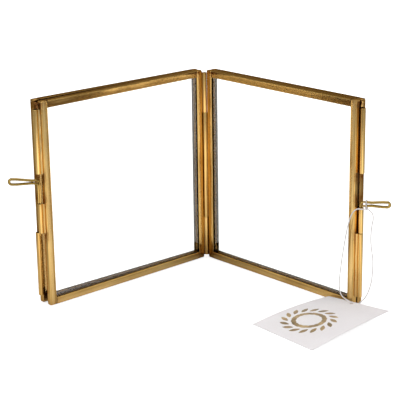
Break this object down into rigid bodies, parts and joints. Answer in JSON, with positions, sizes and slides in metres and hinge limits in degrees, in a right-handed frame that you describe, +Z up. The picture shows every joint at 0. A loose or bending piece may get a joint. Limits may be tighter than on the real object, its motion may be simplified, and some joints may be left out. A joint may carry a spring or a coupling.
{
  "type": "hinged double photo frame",
  "caption": "Folding photo frame that stands open like a book: glazed square brass leaves on a tube spine, each a hinged pair of frames locked by a sliding bent-wire pin.",
  "frame": {"origin": "on the table, in the middle of the stand's footprint, with the leaves at 90 degrees and without the tag", "axes": "+X to the right of a viewer who looks into the open leaves, along the stand's greatest width; -Y towards that viewer, so the spine is at +Y; +Z up"},
  "size_m": [0.2434, 0.1735, 0.1366],
  "materials": {
    "frame_brass": "brushed, antiqued, with darkened solder at the corners",
    "tube_brass": "drawn tube with a dark butt seam",
    "wire_brass": "bright hard-drawn wire",
    "clear_glass": "polished, clear",
    "tag_card": "uncoated white card",
    "tag_string": "twisted white cotton"
  },
  "bodies": {
    "left_front": {"left_front_inner_stile": "frame_brass", "left_front_outer_stile": "frame_brass", "left_front_top_rail": "frame_brass", "left_front_bottom_rail": "frame_brass", "left_front_glass": "clear_glass", "left_upper_catch_tube": "tube_brass", "left_middle_catch_tube": "tube_brass", "left_frame_hinge_end_knuckles": "tube_brass", "left_frame_hinge_pins": "tube_brass", "spine_bottom_knuckle": "tube_brass", "spine_top_knuckle": "tube_brass", "spine_pin": "tube_brass"},
    "left_back": {"left_back_inner_stile": "frame_brass", "left_back_outer_stile": "frame_brass", "left_back_top_rail": "frame_brass", "left_back_bottom_rail": "frame_brass", "left_back_glass": "clear_glass", "left_lower_catch_tube": "tube_brass", "left_frame_hinge_middle_knuckles": "tube_brass"},
    "left_pin": {"left_latch_pin": "wire_brass"},
    "right_leaf": {"right_front_inner_stile": "frame_brass", "right_front_outer_stile": "frame_brass", "right_front_top_rail": "frame_brass", "right_front_bottom_rail": "frame_brass", "right_front_glass": "clear_glass", "right_back_inner_stile": "frame_brass", "right_back_outer_stile": "frame_brass", "right_back_top_rail": "frame_brass", "right_back_bottom_rail": "frame_brass", "right_back_glass": "clear_glass", "right_upper_catch_tube": "tube_brass", "right_middle_catch_tube": "tube_brass", "right_lower_catch_tube": "tube_brass", "right_frame_hinge_end_knuckles": "tube_brass", "right_frame_hinge_middle_knuckles": "tube_brass", "right_frame_hinge_pins": "tube_brass", "spine_middle_knuckle": "tube_brass"},
    "right_pin": {"right_latch_pin": "wire_brass", "tag_knot": "tag_string", "tag_string": "tag_string", "swing_tag": "tag_card"}
  },
  "joints": [
    {"name": "spine_fold", "type": "hinge", "parent": "left_front", "child": "right_leaf", "pos_m": [0.00058, 0.04704, 0], "axis": [0, 0, 1], "range_deg": [-90, 90], "deforming": ["swing_tag", "tag_string"]},
    {"name": "left_frame_open", "type": "hinge", "parent": "left_front", "child": "left_back", "pos_m": [-0.00257, 0.05005, 0], "axis": [0, 0, -1], "range_deg": [-1.45, 40]},
    {"name": "left_pin_slide", "type": "slide", "parent": "left_front", "child": "left_pin", "axis": [0, 0, 1], "range_m": [-0.012, 0.0031]},
    {"name": "right_pin_slide", "type": "slide", "parent": "right_leaf", "child": "right_pin", "axis": [0, 0, 1], "range_m": [0, 0.0179]}
  ]
}
